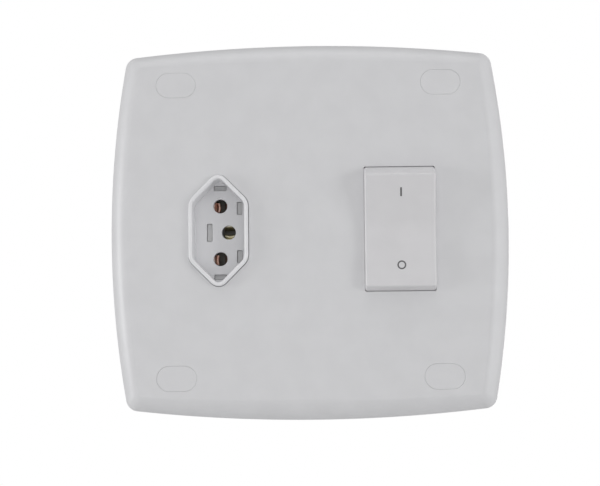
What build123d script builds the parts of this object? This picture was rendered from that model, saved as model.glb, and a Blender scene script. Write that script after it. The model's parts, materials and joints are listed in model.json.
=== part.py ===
from build123d import *
import os
from math import cos, radians, sin, sqrt, tan

# The wall is the plane y = 0, the front faces -Y and +Z is up. All sizes are in millimetres.

# Cover plate
plate_width = 142.0
plate_height = 134.0
plate_depth = 9.0
plate_wall = 2.2
side_bulge = 5.7
end_bulge = 3.6
skirt_height = 1.6
corner_radius = 4.0
face_corner_radius = 1.5
roll_side = 6.8
roll_end = 7.2
roll_corner_x = 5.3
roll_corner_z = 5.0
roll_first_angle = 12.0
roll_last_angle = 70.0
roll_steps = 4
inner_roll_steps = 2
inner_face = plate_depth - plate_wall

# Wall screws and the caps over them
screw_pitch_x = 94.0
screw_pitch_z = 104.0
screw_slot_length = 8.4
screw_slot_width = 4.4
boss_floor = 2.0
boss_wall = 1.3
cap_length = 14.1
cap_width = 8.9
cap_thickness = 1.3
cap_gap = 0.12
cap_recess = 0.1
cap_ledge = 0.8
cap_prong_depth = 2.4
cap_prong_wall = 1.0
cap_prong_width = 2.8
cap_prong_inset = 0.35

# Snap hooks and ribs that hold the two devices to the plate
ledge_width = 10.0
ledge_proud = 1.2
ledge_back = 3.0
hook_width = 8.0
hook_wall = 1.6
hook_gap = 0.2
hook_nose = 1.6
guide_wall = 1.2
guide_length = 30.0
guide_height = 3.5
guide_gap = 0.25

# Socket housing
socket_x = -32.0
pin_pitch = 19.0
earth_offset = 3.0
pin_hole_radius = 2.5
collar_half_width = 10.8
collar_side = 10.65
collar_proud = 2.0
collar_wall = 1.65
collar_apex_radius = 3.5
collar_side_radius = 5.0
collar_gap = 0.25
collar_lip = 0.5
recess_depth = 11.0
floor_thickness = 2.0
body_wall = 1.6
body_corner = 1.5
socket_half_x = 13.5
socket_half_z = 22.5
socket_back = 13.0
chamber_rib = 1.2
back_cover_thickness = 2.0
latch_gap = 0.15
latch_set_back = 0.9
end_window_place = 16.0
end_window = (4.6, 1.9)
left_window_place = 3.9
left_window = (2.0, 6.5)
right_window_place = (6.9, 8.7)
right_window = (2.0, 4.6)
floor_front = recess_depth - plate_depth - collar_proud
floor_back = floor_front + floor_thickness

# Contacts of the socket
blade_thickness = 0.5
blade_width = 3.6
blade_mouth = 2.25
blade_pinch = 1.1
blade_root = 2.1
blade_gap = 1.0
blade_pinch_depth = 4.5
blade_heel = 1.0
web_seat = 5.2
web_thickness = 0.9
web_gap = 1.1
block_place = 9.1
block_half_x = 2.6
block_half_z = 3.0
block_length = 7.5
wire_chamber = 3.4
wire_entry_radius = 2.2
wire_depth = 6.5
web_back = socket_back - web_gap
web_front = web_back - web_thickness
socket_screw_y = web_front - block_length / 2

# Clamp screws of all the terminals
screw_radius = 1.5
screw_gap = 0.05
screw_stand = 1.2
screw_bite = 0.6
screw_drive_width = 0.8
screw_drive_depth = 0.8
driver_window = 4.6

# Rocker and its pin
rocker_x = 32.0
opening_side_gap = 0.35
opening_end_gap = 0.22
opening_corner = 0.6
opening_lip = 1.2
rocker_half_x = 12.45
rocker_radius = 22.4
rocker_lean = 5.0
rocker_slope = 8.5
rocker_vertex_proud = 3.0
rocker_wall = 1.8
rocker_skirt = 3.5
rocker_end_round = 0.8
rocker_side_chamfer = 0.35
rocker_rib = 1.4
key_face_angle = 18.0
pivot_depth = 5.0
pin_radius = 1.25
pin_gap = 0.05
pin_seat_gap = 0.02
pivot_boss_wall = 1.3
pivot_y = pivot_depth - plate_depth
opening_half_x = rocker_half_x + opening_side_gap
opening_half_z = sqrt(rocker_radius ** 2 - (pivot_depth - opening_lip) ** 2) + opening_end_gap

# Spring plungers
pole_place = 6.5
plunger_radius = 1.5
plunger_gap = 0.08
plunger_reach = 13.0
plunger_length = 6.0
plunger_nose = 0.6
sleeve_wall = 0.95
sleeve_end = 10.0
spring_top = 2.9
spring_wire = 0.4
spring_turns = 3
spring_gap = 0.1

# Contact levers and their terminals
lever_slope = 7.5
lever_thickness = 0.8
lever_lift = 0.5
lever_arm = 12.0
lever_half_width = 2.5
lever_pin_radius = 0.8
lever_play = 0.05
lever_touch = 0.15
button_place = 10.5
button_radius = 1.6
button_thickness = 0.7
strip_thickness = 0.8
strip_tail = 3.0
strip_step = 1.0
cradle_half_height = 2.2
cradle_wall = 0.8
cradle_gap = 0.4
cradle_lip = 0.4
terminal_end_gap = 2.5
terminal_half_x = 3.3
terminal_half_z = 3.2
terminal_gap = 0.15
fixed_strip_end = 8.5
lever_back = lever_lift * cos(radians(lever_slope))
lever_front = lever_back + lever_thickness
plunger_tip_y = pivot_y + plunger_reach * cos(radians(rocker_lean)) + plunger_radius
lever_y = plunger_tip_y + lever_touch + lever_front
fixed_contact_y = lever_y - lever_back + button_thickness + lever_play
fixed_strip_y = fixed_contact_y + button_thickness
strip_y = fixed_strip_y + strip_thickness + strip_step
cradle_half_width = lever_half_width + cradle_gap + cradle_wall

# Switch housing and base
travel_gap = 0.55
switch_wall = 2.0
partition_wall = 1.6
partition_y = 4.0
base_thickness = 8.6
base_rear_wall = 2.0
base_recess_depth = 5.0
base_recess_rib = 3.9
switch_half_x = rocker_half_x + travel_gap + switch_wall
switch_half_z = rocker_radius + travel_gap + switch_wall
terminal_place = switch_half_z - switch_wall - terminal_end_gap - terminal_half_z
base_recess_half_z = terminal_place - terminal_half_z - terminal_gap - base_recess_rib
base_front = strip_y + strip_thickness
base_back = base_front + base_thickness
terminal_back = base_back - base_rear_wall
base_screw_y = (base_front + terminal_back) / 2


def facing_front(y, x=0.0, z=0.0):
    """A plane that faces the front, at the depth y behind the wall plane."""
    return Plane(origin=(x, y, z), x_dir=(1, 0, 0), z_dir=(0, -1, 0))


def on_edge(x, y, lean=0.0):
    """A plane across X whose first axis runs up and second to the front, with its top leaning out."""
    up = (0, -sin(radians(lean)), cos(radians(lean)))
    return Plane(origin=(x, y, 0), x_dir=up, z_dir=(1, 0, 0))


def plate_outline(share, inset):
    """The bulged outline of the plate, from the rim at share 0 to the edge of the face at share 1."""
    side = plate_width / 2 - share * roll_side - inset
    end = plate_height / 2 - share * roll_end - inset
    corner_x = plate_width / 2 - side_bulge - share * roll_corner_x - inset
    corner_z = plate_height / 2 - end_bulge - share * roll_corner_z - inset
    with BuildSketch() as outline:
        with BuildLine():
            ThreePointArc((corner_x, -corner_z), (side, 0), (corner_x, corner_z))
            ThreePointArc((corner_x, corner_z), (0, end), (-corner_x, corner_z))
            ThreePointArc((-corner_x, corner_z), (-side, 0), (-corner_x, -corner_z))
            ThreePointArc((-corner_x, -corner_z), (0, -end), (corner_x, -corner_z))
        make_face()
        radius = corner_radius + share * (face_corner_radius - corner_radius)
        fillet(outline.vertices(), radius)
    return outline.sketch


def roll_sections(depth, steps):
    """The height and share of each section through the rolled border, from the skirt to the face."""
    first = radians(roll_first_angle)
    last = radians(roll_last_angle)
    sections = []
    for step in range(steps + 1):
        angle = first + (last - first) * step / steps
        share = (cos(first) - cos(angle)) / (cos(first) - cos(last))
        rise = (sin(angle) - sin(first)) / (sin(last) - sin(first))
        sections.append((skirt_height + rise * (depth - skirt_height), share))
    return sections


def collar_outline(inset):
    """The six-sided outline of the socket's collar, with rounded corners."""
    half_width = collar_half_width - inset
    apex = collar_side + collar_half_width - inset * sqrt(2)
    shoulder = apex - half_width
    side_radius = collar_side_radius - inset
    apex_radius = collar_apex_radius - inset
    corners = [
        (half_width, -shoulder),
        (half_width, shoulder),
        (0, apex),
        (-half_width, shoulder),
        (-half_width, -shoulder),
        (0, -apex),
    ]
    radii = [side_radius, side_radius, apex_radius, side_radius, side_radius, apex_radius]
    with BuildSketch() as outline:
        with BuildLine():
            FilletPolyline(*corners, radius=radii, close=True)
        make_face()
    return outline.sketch


def window_outlines(gap):
    """The five windows in the socket's floor, each smaller all round by the gap."""
    across, up = right_window_place
    with BuildSketch() as outlines:
        with Locations((0, end_window_place), (0, -end_window_place)):
            Rectangle(end_window[0] - 2 * gap, end_window[1] - 2 * gap)
        with Locations((-left_window_place, 0)):
            Rectangle(left_window[0] - 2 * gap, left_window[1] - 2 * gap)
        with Locations((across, up), (across, -up)):
            Rectangle(right_window[0] - 2 * gap, right_window[1] - 2 * gap)
    return outlines.sketch


def hook_profile(side, half_z):
    """The side view of a hook behind the plate that reaches over the ledge of a device."""
    inner = half_z + ledge_proud + hook_gap
    outer = inner + hook_wall
    catch = half_z + hook_gap
    tip = ledge_back - hook_nose
    profile = [
        (inner, inner_face),
        (inner, ledge_back),
        (catch, ledge_back),
        (inner, tip),
        (outer, tip),
        (outer, inner_face),
    ]
    with BuildSketch() as outline:
        with BuildLine():
            Polyline(*[(side * up, forward) for up, forward in profile], close=True)
        make_face()
    return outline.sketch


def ledge_outlines(half_z):
    """The ledges above and below a device that the plate's hooks hold."""
    with BuildSketch() as outlines:
        with GridLocations(0, 2 * half_z + ledge_proud, 1, 2):
            Rectangle(ledge_width, ledge_proud)
    return outlines.sketch


# Cover plate: a hollow moulding with a rolled border, open at the back
with BuildPart() as cover_plate:
    with BuildSketch(facing_front(0)):
        add(plate_outline(0, 0))
    extrude(amount=skirt_height)
    for height, share in roll_sections(plate_depth, roll_steps):
        with BuildSketch(facing_front(-height)):
            add(plate_outline(share, 0))
    loft(ruled=True)
    with BuildSketch(facing_front(0)):
        add(plate_outline(0, plate_wall))
    extrude(amount=skirt_height, mode=Mode.SUBTRACT)
    for height, share in roll_sections(inner_face, inner_roll_steps):
        with BuildSketch(facing_front(-height)):
            add(plate_outline(share, plate_wall))
    loft(ruled=True, mode=Mode.SUBTRACT)

    # Screw bosses, with a seat for the cap, a well for the screw's head and a slot for its shank
    mouth_length = cap_length + 2 * cap_gap
    mouth_width = cap_width + 2 * cap_gap
    seat = cap_thickness + cap_recess
    with BuildSketch(facing_front(0)):
        with GridLocations(screw_pitch_x, screw_pitch_z, 2, 2):
            Rectangle(mouth_length + 2 * boss_wall, mouth_width + 2 * boss_wall)
    extrude(amount=inner_face)
    with BuildSketch(facing_front(-plate_depth)):
        with GridLocations(screw_pitch_x, screw_pitch_z, 2, 2):
            SlotOverall(mouth_length, mouth_width)
    extrude(amount=-seat, mode=Mode.SUBTRACT)
    with BuildSketch(facing_front(-boss_floor)):
        with GridLocations(screw_pitch_x, screw_pitch_z, 2, 2):
            SlotOverall(mouth_length - 2 * cap_ledge, mouth_width - 2 * cap_ledge)
    extrude(amount=plate_depth - boss_floor, mode=Mode.SUBTRACT)
    with BuildSketch(facing_front(0)):
        with GridLocations(screw_pitch_x, screw_pitch_z, 2, 2):
            SlotOverall(screw_slot_length, screw_slot_width)
    extrude(amount=boss_floor, mode=Mode.SUBTRACT)

    # Openings for the collar of the socket and for the rocker
    with BuildSketch(facing_front(0, socket_x)):
        add(collar_outline(-collar_gap))
    extrude(amount=plate_depth, mode=Mode.SUBTRACT)
    with BuildSketch(facing_front(0, rocker_x)):
        RectangleRounded(2 * opening_half_x, 2 * opening_half_z, opening_corner)
    extrude(amount=plate_depth, mode=Mode.SUBTRACT)
    with BuildSketch(facing_front(0, rocker_x)):
        Rectangle(2 * (switch_half_x - switch_wall), 2 * (switch_half_z - switch_wall))
    extrude(amount=plate_depth - opening_lip, mode=Mode.SUBTRACT)

    # Guide ribs beside the devices and hooks above and below them
    for x, half_x in ((socket_x, socket_half_x), (rocker_x, switch_half_x)):
        with BuildSketch(facing_front(-inner_face, x)):
            for side in (1, -1):
                with Locations((side * (half_x + guide_gap + guide_wall / 2), 0)):
                    Rectangle(guide_wall, guide_length)
        extrude(amount=-guide_height)
    for x, half_z in ((socket_x, socket_half_z), (rocker_x, switch_half_z)):
        with BuildSketch(on_edge(x, 0)):
            for side in (1, -1):
                add(hook_profile(side, half_z))
        extrude(amount=hook_width / 2, both=True)


def make_screw_cap(x, z):
    """A blind cap that plugs the mouth over a wall screw, with two prongs that grip the well."""
    prong_place = cap_length / 2 - cap_ledge - cap_prong_inset - cap_prong_wall / 2
    cap_front = cap_recess - plate_depth
    cap_back = cap_front + cap_thickness
    with BuildPart() as cap:
        with BuildSketch(facing_front(cap_back, x, z)):
            SlotOverall(cap_length, cap_width)
        extrude(amount=cap_thickness)
        with BuildSketch(facing_front(cap_back + cap_prong_depth, x, z)):
            with GridLocations(2 * prong_place, 0, 2, 1):
                Rectangle(cap_prong_wall, cap_prong_width)
        extrude(amount=cap_prong_depth)
    return cap.part


# Socket housing: a moulded box with the plug's recess in front and three chambers behind
with BuildPart() as socket_housing:
    with BuildSketch(facing_front(socket_back, socket_x)):
        RectangleRounded(2 * socket_half_x, 2 * socket_half_z, body_corner)
    extrude(amount=socket_back + inner_face)
    with BuildSketch(facing_front(socket_back, socket_x)):
        Rectangle(2 * (socket_half_x - body_wall), 2 * (socket_half_z - body_wall))
    extrude(amount=socket_back + inner_face - body_wall, mode=Mode.SUBTRACT)
    with BuildSketch(facing_front(-ledge_back, socket_x)):
        add(ledge_outlines(socket_half_z))
    extrude(amount=inner_face - ledge_back)
    with BuildSketch(facing_front(floor_back, socket_x)):
        add(collar_outline(0))
    extrude(amount=recess_depth + floor_thickness)
    with BuildSketch(facing_front(floor_front, socket_x)):
        add(collar_outline(collar_wall))
    extrude(amount=recess_depth, mode=Mode.SUBTRACT)
    chamfer(faces().sort_by(Axis.Y)[0].edges(), collar_lip)
    with BuildSketch(facing_front(socket_back, socket_x)):
        with Locations((0, pin_pitch / 4), (0, -pin_pitch / 4)):
            Rectangle(2 * socket_half_x - body_wall, chamber_rib)
    extrude(amount=socket_back - floor_back)
    with BuildSketch(facing_front(floor_back, socket_x)):
        with Locations((0, pin_pitch / 2), (0, -pin_pitch / 2), (earth_offset, 0)):
            Circle(pin_hole_radius)
        add(window_outlines(0))
    extrude(amount=floor_thickness, mode=Mode.SUBTRACT)
    with BuildSketch(Plane.YZ.offset(socket_x - socket_half_x)):
        with Locations((socket_screw_y, pin_pitch / 2), (socket_screw_y, -pin_pitch / 2)):
            Rectangle(driver_window, driver_window)
    extrude(amount=body_wall, mode=Mode.SUBTRACT)
    with BuildSketch(Plane.YZ.offset(socket_x + socket_half_x)):
        with Locations((socket_screw_y, 0)):
            Rectangle(driver_window, driver_window)
    extrude(amount=-body_wall, mode=Mode.SUBTRACT)

# Back cover of the socket: a plate with five long latches whose ends show in the floor's windows
with BuildPart() as socket_back_cover:
    with BuildSketch(facing_front(socket_back + back_cover_thickness, socket_x)):
        RectangleRounded(2 * socket_half_x, 2 * socket_half_z, body_corner)
    extrude(amount=back_cover_thickness)
    with BuildSketch(facing_front(socket_back, socket_x)):
        add(window_outlines(latch_gap))
    extrude(amount=socket_back - floor_front - latch_set_back)
    with BuildSketch(facing_front(socket_back, socket_x)):
        with Locations((0, pin_pitch / 2), (0, -pin_pitch / 2), (earth_offset, 0)):
            Rectangle(web_seat, web_seat)
    extrude(amount=web_gap)
    with BuildSketch(facing_front(socket_back + back_cover_thickness, socket_x)):
        with Locations((-block_place, pin_pitch / 2), (-block_place, -pin_pitch / 2), (block_place, 0)):
            Circle(wire_entry_radius)
    extrude(amount=back_cover_thickness, mode=Mode.SUBTRACT)


def make_socket_contact(across, up, block_side, turn):
    """A brass contact: two bent blades that pinch the pin, a web and a clamp block for the wire."""
    block_x = block_side * block_place
    mouth = floor_back + blade_gap
    pinch = mouth + blade_pinch_depth
    heel = web_front - blade_heel
    profile = [
        (blade_mouth, mouth),
        (blade_pinch, pinch),
        (blade_root, heel),
        (blade_root, web_front),
        (blade_root + blade_thickness, web_front),
        (blade_root + blade_thickness, heel),
        (blade_pinch + blade_thickness, pinch),
        (blade_mouth + blade_thickness, mouth),
    ]
    with BuildPart() as contact:
        for side in (0, 180):
            spin = radians(turn + side)
            outward = (cos(spin), 0, sin(spin))
            blade_plane = Plane(
                origin=(socket_x + across, 0, up),
                x_dir=outward,
                z_dir=(-sin(spin), 0, cos(spin)),
            )
            rear = blade_plane.y_dir.Y
            with BuildSketch(blade_plane):
                with BuildLine():
                    Polyline(*[(spread, rear * y) for spread, y in profile], close=True)
                make_face()
            extrude(amount=blade_width / 2, both=True)
        far_edge = across - block_side * (blade_root + blade_thickness)
        near_edge = block_x + block_side * block_half_x
        with BuildSketch(facing_front(web_back, socket_x, up)):
            with Locations(((far_edge + near_edge) / 2, 0)):
                Rectangle(abs(near_edge - far_edge), 2 * block_half_z)
        extrude(amount=web_thickness)
        with BuildSketch(facing_front(web_front, socket_x + block_x, up)):
            Rectangle(2 * block_half_x, 2 * block_half_z)
        extrude(amount=block_length)
        with BuildSketch(facing_front(web_back, socket_x + block_x, up)):
            Rectangle(wire_chamber, wire_chamber)
        extrude(amount=wire_depth, mode=Mode.SUBTRACT)
        with BuildSketch(Plane.YZ.offset(socket_x + near_edge)):
            with Locations((socket_screw_y, up)):
                Circle(screw_radius + screw_gap)
        extrude(amount=-block_side * block_half_x, mode=Mode.SUBTRACT)
    return contact.part


def make_clamp_screw(end_plane, grip):
    """A slotted set screw, drawn from its outer end inwards."""
    with BuildPart() as screw:
        with BuildSketch(end_plane):
            Circle(screw_radius)
        extrude(amount=screw_stand + grip)
        with BuildSketch(end_plane):
            Rectangle(2 * screw_radius, screw_drive_width)
        extrude(amount=screw_drive_depth, mode=Mode.SUBTRACT)
    return screw.part


# Rocker: a hollow two-faced key with round ends, a pivot boss and a sleeve for each plunger
rocker_front = on_edge(rocker_x, pivot_y, rocker_lean).y_dir
key_face_turn = cos(radians(key_face_angle))
with BuildPart() as rocker:
    with BuildSketch(on_edge(rocker_x, pivot_y, rocker_lean)):
        vertex = pivot_depth + rocker_vertex_proud
        rise = rocker_radius * tan(radians(rocker_slope))
        with BuildLine():
            Polyline(
                (-rocker_radius, -rocker_skirt),
                (-rocker_radius, vertex + rise),
                (0, vertex),
                (rocker_radius, vertex + rise),
                (rocker_radius, -rocker_skirt),
                close=True,
            )
        make_face()
        Circle(rocker_radius, mode=Mode.INTERSECT)
    extrude(amount=rocker_half_x, both=True)
    key_faces = faces().filter_by(lambda face: face.normal_at().dot(rocker_front) > key_face_turn)
    end_edges = key_faces.edges().filter_by(Axis.X).sort_by(Axis.Z)
    fillet([end_edges[0], end_edges[-1]], rocker_end_round)
    key_faces = faces().filter_by(lambda face: face.normal_at().dot(rocker_front) > key_face_turn)
    chamfer(key_faces.edges().filter_by(Axis.X, reverse=True), rocker_side_chamfer)
    with BuildSketch(on_edge(rocker_x, pivot_y, rocker_lean)):
        inner_radius = rocker_radius - rocker_wall
        inner_rise = inner_radius * tan(radians(rocker_slope))
        with BuildLine():
            Polyline(
                (-inner_radius, -rocker_skirt),
                (-inner_radius, vertex - rocker_wall + inner_rise),
                (0, vertex - rocker_wall),
                (inner_radius, vertex - rocker_wall + inner_rise),
                (inner_radius, -rocker_skirt),
                close=True,
            )
        make_face()
        Circle(inner_radius, mode=Mode.INTERSECT)
    extrude(amount=rocker_half_x - rocker_wall, both=True, mode=Mode.SUBTRACT)
    with BuildSketch(on_edge(rocker_x, pivot_y, rocker_lean)):
        Circle(pin_radius + pin_gap + pivot_boss_wall)
        with Locations((0, (vertex - rocker_wall / 2) / 2)):
            Rectangle(rocker_rib, vertex - rocker_wall / 2)
    extrude(amount=rocker_half_x - rocker_wall, both=True)
    sleeve_radius = plunger_radius + plunger_gap
    for side in (-1, 1):
        pole_plane = on_edge(rocker_x + side * pole_place, pivot_y, rocker_lean)
        across = Plane(pole_plane.origin, x_dir=(1, 0, 0), z_dir=-rocker_front)
        with BuildSketch(across):
            Rectangle(2 * (sleeve_radius + sleeve_wall), 2 * (sleeve_radius + sleeve_wall))
        extrude(amount=sleeve_end)
        with BuildSketch(across.offset(spring_top)):
            Circle(sleeve_radius)
        extrude(amount=sleeve_end - spring_top, mode=Mode.SUBTRACT)
    with BuildSketch(on_edge(rocker_x, pivot_y, rocker_lean)):
        Circle(pin_radius + pin_gap)
    extrude(amount=rocker_half_x, both=True, mode=Mode.SUBTRACT)

# Steel pin that the rocker turns on, pressed in the housing's sides
with BuildPart() as pivot_pin:
    with BuildSketch(on_edge(rocker_x, pivot_y)):
        Circle(pin_radius)
    extrude(amount=switch_half_x, both=True)

# Switch housing: an open box round the rocker and the contact levers
with BuildPart() as switch_housing:
    with BuildSketch(facing_front(base_front, rocker_x)):
        RectangleRounded(2 * switch_half_x, 2 * switch_half_z, body_corner)
        Rectangle(
            2 * (switch_half_x - switch_wall),
            2 * (switch_half_z - switch_wall),
            mode=Mode.SUBTRACT,
        )
    extrude(amount=base_front + inner_face)
    with BuildSketch(facing_front(-ledge_back, rocker_x)):
        add(ledge_outlines(switch_half_z))
    extrude(amount=inner_face - ledge_back)
    with BuildSketch(on_edge(rocker_x, pivot_y)):
        Circle(pin_radius + pin_seat_gap)
    extrude(amount=switch_half_x, both=True, mode=Mode.SUBTRACT)

# Base: closes the housing, keeps the two poles apart and holds the four terminals
with BuildPart() as switch_base:
    with BuildSketch(facing_front(base_back, rocker_x)):
        RectangleRounded(2 * switch_half_x, 2 * switch_half_z, body_corner)
    extrude(amount=base_thickness)
    with BuildSketch(facing_front(base_front, rocker_x)):
        Rectangle(partition_wall, 2 * (terminal_place + terminal_half_z))
    extrude(amount=base_front - partition_y)
    with BuildSketch(facing_front(terminal_back, rocker_x)):
        with GridLocations(2 * pole_place, 2 * terminal_place, 2, 2):
            Rectangle(
                2 * (terminal_half_x + terminal_gap),
                2 * (terminal_half_z + terminal_gap),
            )
    extrude(amount=terminal_back - base_front, mode=Mode.SUBTRACT)
    with BuildSketch(facing_front(base_back, rocker_x)):
        with GridLocations(2 * pole_place, 2 * terminal_place, 2, 2):
            Circle(wire_entry_radius)
        with Locations((pole_place, 0), (-pole_place, 0)):
            Rectangle(2 * terminal_half_x + terminal_gap, 2 * base_recess_half_z)
    extrude(amount=base_rear_wall, mode=Mode.SUBTRACT)
    with BuildSketch(facing_front(terminal_back, rocker_x)):
        with Locations((pole_place, 0), (-pole_place, 0)):
            Rectangle(2 * terminal_half_x + terminal_gap, 2 * base_recess_half_z)
    extrude(amount=base_recess_depth - base_rear_wall, mode=Mode.SUBTRACT)
    shelf = terminal_place + terminal_half_z
    for side in (-1, 1):
        with BuildSketch(Plane.XY.offset(side * switch_half_z)):
            for pole in (-1, 1):
                with Locations((rocker_x + pole * pole_place, base_screw_y)):
                    Rectangle(driver_window, driver_window)
        extrude(amount=-side * (switch_half_z - shelf), mode=Mode.SUBTRACT)


def make_cradle_terminal(pole):
    """A brass terminal that carries the lever in two notched ears and clamps a wire above it."""
    x = rocker_x + pole * pole_place
    top = terminal_place + terminal_half_z
    with BuildPart() as terminal:
        with BuildSketch(facing_front(base_front, x)):
            with Locations((0, (top - strip_tail) / 2)):
                Rectangle(2 * terminal_half_x, top + strip_tail)
            Rectangle(2 * cradle_half_width, 2 * cradle_half_height)
        extrude(amount=strip_thickness)
        with BuildSketch(on_edge(x, lever_y)):
            with Locations((0, (cradle_lip - strip_y + lever_y) / 2)):
                Rectangle(2 * cradle_half_height, strip_y - lever_y + cradle_lip)
            Circle(lever_pin_radius + lever_play, mode=Mode.SUBTRACT)
            with Locations((0, lever_pin_radius)):
                Rectangle(
                    2 * (lever_pin_radius + lever_play),
                    2 * lever_pin_radius,
                    mode=Mode.SUBTRACT,
                )
        extrude(amount=cradle_half_width, both=True)
        with BuildSketch(facing_front(strip_y, x)):
            Rectangle(2 * (cradle_half_width - cradle_wall), 2 * cradle_half_height)
        extrude(amount=strip_y - lever_y + cradle_lip, mode=Mode.SUBTRACT)
        with BuildSketch(facing_front(terminal_back, x, terminal_place)):
            Rectangle(2 * terminal_half_x, 2 * terminal_half_z)
        extrude(amount=terminal_back - base_front)
        with BuildSketch(facing_front(terminal_back, x, terminal_place)):
            Rectangle(wire_chamber, wire_chamber)
        extrude(amount=wire_depth, mode=Mode.SUBTRACT)
        with BuildSketch(Plane.XY.offset(top)):
            with Locations((x, base_screw_y)):
                Circle(screw_radius + screw_gap)
        extrude(amount=-terminal_half_z, mode=Mode.SUBTRACT)
    return terminal.part


def make_fixed_terminal(pole):
    """A brass terminal with a stiff strip that the lever's lower arm closes on."""
    x = rocker_x + pole * pole_place
    foot = terminal_place + terminal_half_z
    with BuildPart() as terminal:
        with BuildSketch(facing_front(terminal_back, x, -terminal_place)):
            Rectangle(2 * terminal_half_x, 2 * terminal_half_z)
        extrude(amount=terminal_back - fixed_strip_y)
        with BuildSketch(facing_front(fixed_strip_y + strip_thickness, x)):
            with Locations((0, -(foot + fixed_strip_end) / 2)):
                Rectangle(2 * lever_half_width, foot - fixed_strip_end)
        extrude(amount=strip_thickness)
        with BuildSketch(facing_front(terminal_back, x, -terminal_place)):
            Rectangle(wire_chamber, wire_chamber)
        extrude(amount=wire_depth, mode=Mode.SUBTRACT)
        with BuildSketch(Plane.XY.offset(-foot)):
            with Locations((x, base_screw_y)):
                Circle(screw_radius + screw_gap)
        extrude(amount=terminal_half_z, mode=Mode.SUBTRACT)
    return terminal.part


def make_contact_button(face_plane):
    """A silver contact button, welded on its strip and drawn from its contact face."""
    with BuildPart() as button:
        with BuildSketch(face_plane):
            Circle(button_radius)
        extrude(amount=button_thickness)
    return button.part


def lever_arm_plane(x):
    """The back face of the lever's lower arm, which leans out while the switch is off."""
    lean = radians(2 * lever_slope)
    up = (0, sin(lean), cos(lean))
    back = (0, cos(lean), -sin(lean))
    foot = (x, lever_y - lever_back * cos(lean), lever_back * sin(lean))
    return Plane(origin=foot, x_dir=up, z_dir=back)


def make_contact_lever(pole):
    """A bent brass see-saw that rolls on a bead in its cradle under the plunger."""
    x = rocker_x + pole * pole_place
    slope = radians(lever_slope)
    end = (lever_arm * cos(slope), lever_lift + lever_arm * sin(slope))
    end_front = (end[0] - lever_thickness * sin(slope), end[1] + lever_thickness * cos(slope))
    crest = lever_lift + lever_thickness / cos(slope)
    with BuildPart() as lever:
        with BuildSketch(on_edge(x, lever_y, -lever_slope)):
            with BuildLine():
                Polyline(
                    (0, lever_lift),
                    end,
                    end_front,
                    (0, crest),
                    (-end_front[0], end_front[1]),
                    (-end[0], end[1]),
                    close=True,
                )
            make_face()
        extrude(amount=lever_half_width, both=True)
        with BuildSketch(on_edge(x, lever_y, -lever_slope)):
            Circle(lever_pin_radius)
        extrude(amount=cradle_half_width, both=True)
    return lever.part


def plunger_plane(pole, reach):
    """A plane across a plunger's axis, at a reach from the rocker's pivot, that faces the lever."""
    lean = radians(rocker_lean)
    back = (0, cos(lean), sin(lean))
    x = rocker_x + pole * pole_place
    origin = (x, pivot_y + reach * cos(lean), reach * sin(lean))
    return Plane(origin=origin, x_dir=(1, 0, 0), z_dir=back)


def make_plunger(pole):
    """A plunger with a tapered nose that the spring presses on the lever."""
    tip = plunger_plane(pole, plunger_reach + plunger_radius)
    with BuildPart() as plunger:
        with BuildSketch(tip):
            Circle(plunger_radius)
        extrude(amount=-plunger_length - plunger_radius)
        chamfer(faces().sort_by(Axis.Y)[-1].edges(), plunger_radius - plunger_nose)
    return plunger.part


def make_plunger_spring(pole):
    """The small coil spring between the rocker's sleeve and the plunger."""
    start = plunger_plane(pole, spring_top + spring_gap + spring_wire / 2)
    length = plunger_reach - plunger_length - spring_top - 2 * spring_gap - spring_wire
    coil_radius = plunger_radius - spring_wire
    with BuildPart() as spring:
        with BuildLine() as coil:
            Helix(
                pitch=length / spring_turns,
                height=length,
                radius=coil_radius,
                center=start.origin,
                direction=start.z_dir,
            )
        with BuildSketch(Plane(origin=coil.line @ 0, z_dir=coil.line % 0)):
            RegularPolygon(spring_wire / 2, 4)
        sweep(is_frenet=True)
    return spring.part


parts = {
    "cover_plate": cover_plate.part,
    "socket_housing": socket_housing.part,
    "socket_back_cover": socket_back_cover.part,
    "contact_line": make_socket_contact(0, pin_pitch / 2, -1, 180),
    "contact_neutral": make_socket_contact(0, -pin_pitch / 2, -1, 180),
    "contact_earth": make_socket_contact(earth_offset, 0, 1, 90),
    "rocker": rocker.part,
    "pivot_pin": pivot_pin.part,
    "switch_housing": switch_housing.part,
    "switch_base": switch_base.part,
}

for vertical, z_side in (("top", 1), ("bottom", -1)):
    for horizontal, x_side in (("left", -1), ("right", 1)):
        cap_name = f"screw_cap_{vertical}_{horizontal}"
        parts[cap_name] = make_screw_cap(x_side * screw_pitch_x / 2, z_side * screw_pitch_z / 2)

socket_grip = block_half_x - wire_chamber / 2 + screw_bite
for wire, side, up in (("line", -1, pin_pitch / 2), ("neutral", -1, -pin_pitch / 2), ("earth", 1, 0)):
    end_x = socket_x + side * (block_place + block_half_x + screw_stand)
    end = Plane(origin=(end_x, socket_screw_y, up), x_dir=(0, 1, 0), z_dir=(-side, 0, 0))
    parts[f"socket_screw_{wire}"] = make_clamp_screw(end, socket_grip)

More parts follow.
